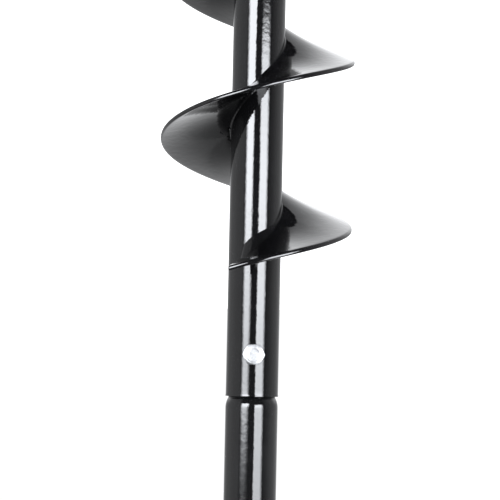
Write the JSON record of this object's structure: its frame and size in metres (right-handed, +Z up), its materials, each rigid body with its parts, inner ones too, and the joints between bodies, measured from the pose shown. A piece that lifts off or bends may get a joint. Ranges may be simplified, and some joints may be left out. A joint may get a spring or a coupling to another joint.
{
  "type": "soil auger",
  "caption": "Two-piece hand soil auger: dished helical flight and bolt-on blades on a tube, cross-bolted to a swaged stem with a T handle and rubber grips.",
  "frame": {"origin": "tip of the spade point, on the axis of the tube, at the middle of the bottom of the bounding box", "axes": "+Z up along the tube from the point to the T handle, as the auger stands in use; +X along the crossbar; the cross bolt's head faces -Y"},
  "size_m": [0.468, 0.1586, 1.0805],
  "materials": {
    "black_powder_coat": "gloss black powder coat with orange peel",
    "forged_steel": "black coat worn to steel at the edges",
    "blade_steel": "ground hardened steel",
    "spring_steel": "dark phosphated spring steel",
    "zinc_plate": "bright zinc plate",
    "nylon": "dyed nylon",
    "cap_plastic": "moulded polyethylene",
    "grip_rubber": "moulded ribbed rubber"
  },
  "bodies": {
    "root": {"pilot_point": "forged_steel", "pilot_pin": "spring_steel", "auger_tube": "black_powder_coat", "main_flight": "black_powder_coat", "lead_flight": "black_powder_coat", "main_flight_weld_upper": "black_powder_coat", "main_flight_weld_lower": "black_powder_coat", "lead_flight_weld_upper": "black_powder_coat", "lead_flight_weld_lower": "black_powder_coat", "blade_seat_main": "black_powder_coat", "cutting_blade_main": "blade_steel", "blade_seat_lead": "black_powder_coat", "cutting_blade_lead": "blade_steel", "seat_welds": "black_powder_coat", "blade_bolts": "zinc_plate", "blade_washers": "zinc_plate", "blade_nuts": "zinc_plate", "joint_bolt": "zinc_plate", "joint_washer": "zinc_plate", "joint_nut": "zinc_plate", "joint_nut_ring": "nylon", "handle_stem": "black_powder_coat", "crossbar": "black_powder_coat", "crossbar_welds": "black_powder_coat", "stem_cap": "cap_plastic", "grip_right": "grip_rubber", "grip_left": "grip_rubber"}
  },
  "joints": []
}
